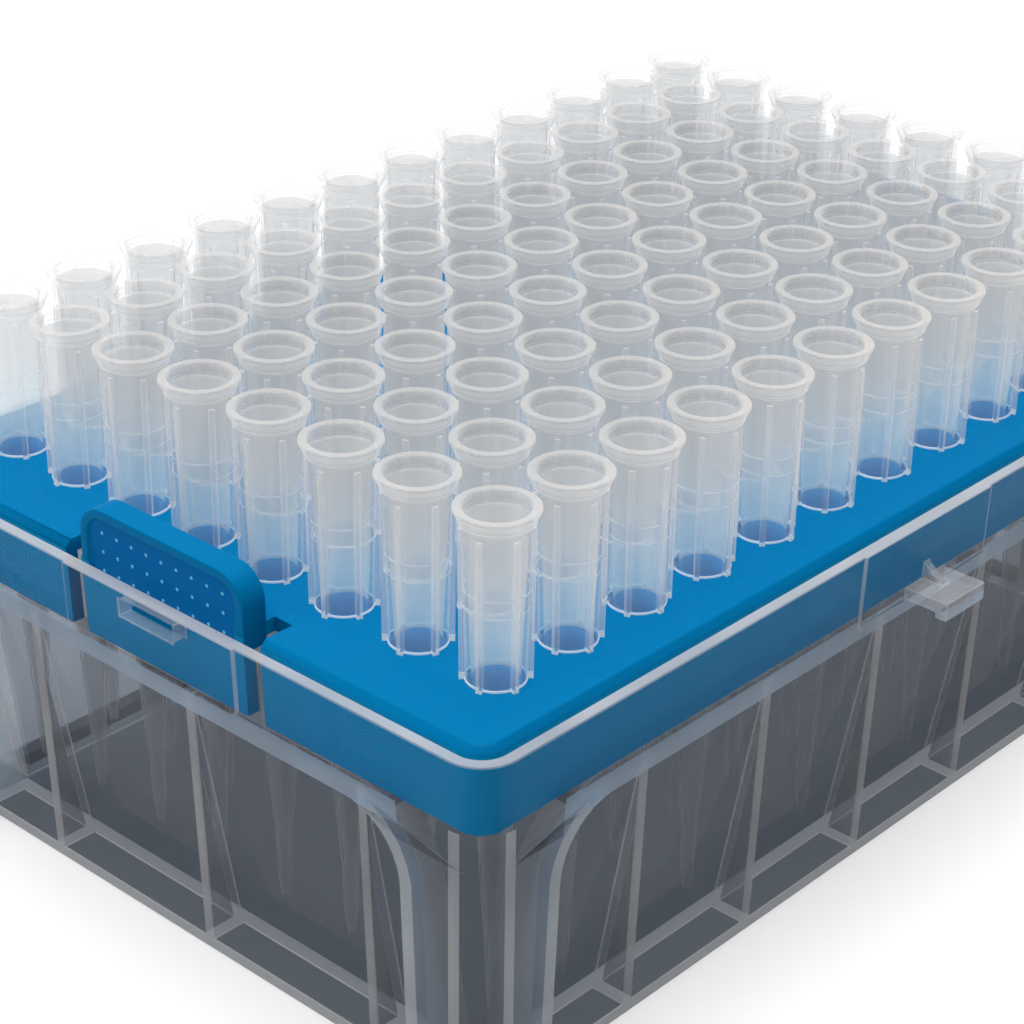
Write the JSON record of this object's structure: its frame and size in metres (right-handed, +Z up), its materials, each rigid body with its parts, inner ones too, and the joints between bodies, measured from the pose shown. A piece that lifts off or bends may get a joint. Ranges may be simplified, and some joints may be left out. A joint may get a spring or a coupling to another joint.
{
  "type": "box of pipette tips",
  "caption": "Open rack box of pipette tips: a clear base with a latch lug, a blue perforated deck with two finger tabs, and ribbed tips standing in rows and columns.",
  "frame": {"origin": "middle of the tip grid, on the flat underside of the base", "axes": "+X along the twelve columns, +Y along the eight rows and away from the latch lug, +Z up"},
  "size_m": [0.1218, 0.0859, 0.0546],
  "materials": {
    "clear_plastic": "clear, slightly smoky, glossy",
    "blue_plastic": "opaque blue, satin gloss",
    "tip_plastic": "natural milky translucent"
  },
  "bodies": {
    "root": {"base": "clear_plastic", "deck": "blue_plastic", "tips_column_01": "tip_plastic", "tips_column_02": "tip_plastic", "tips_column_03": "tip_plastic", "tips_column_04": "tip_plastic", "tips_column_05": "tip_plastic", "tips_column_06": "tip_plastic", "tips_column_07": "tip_plastic", "tips_column_08": "tip_plastic", "tips_column_09": "tip_plastic", "tips_column_10": "tip_plastic", "tips_column_11": "tip_plastic", "tips_column_12": "tip_plastic"}
  },
  "joints": []
}
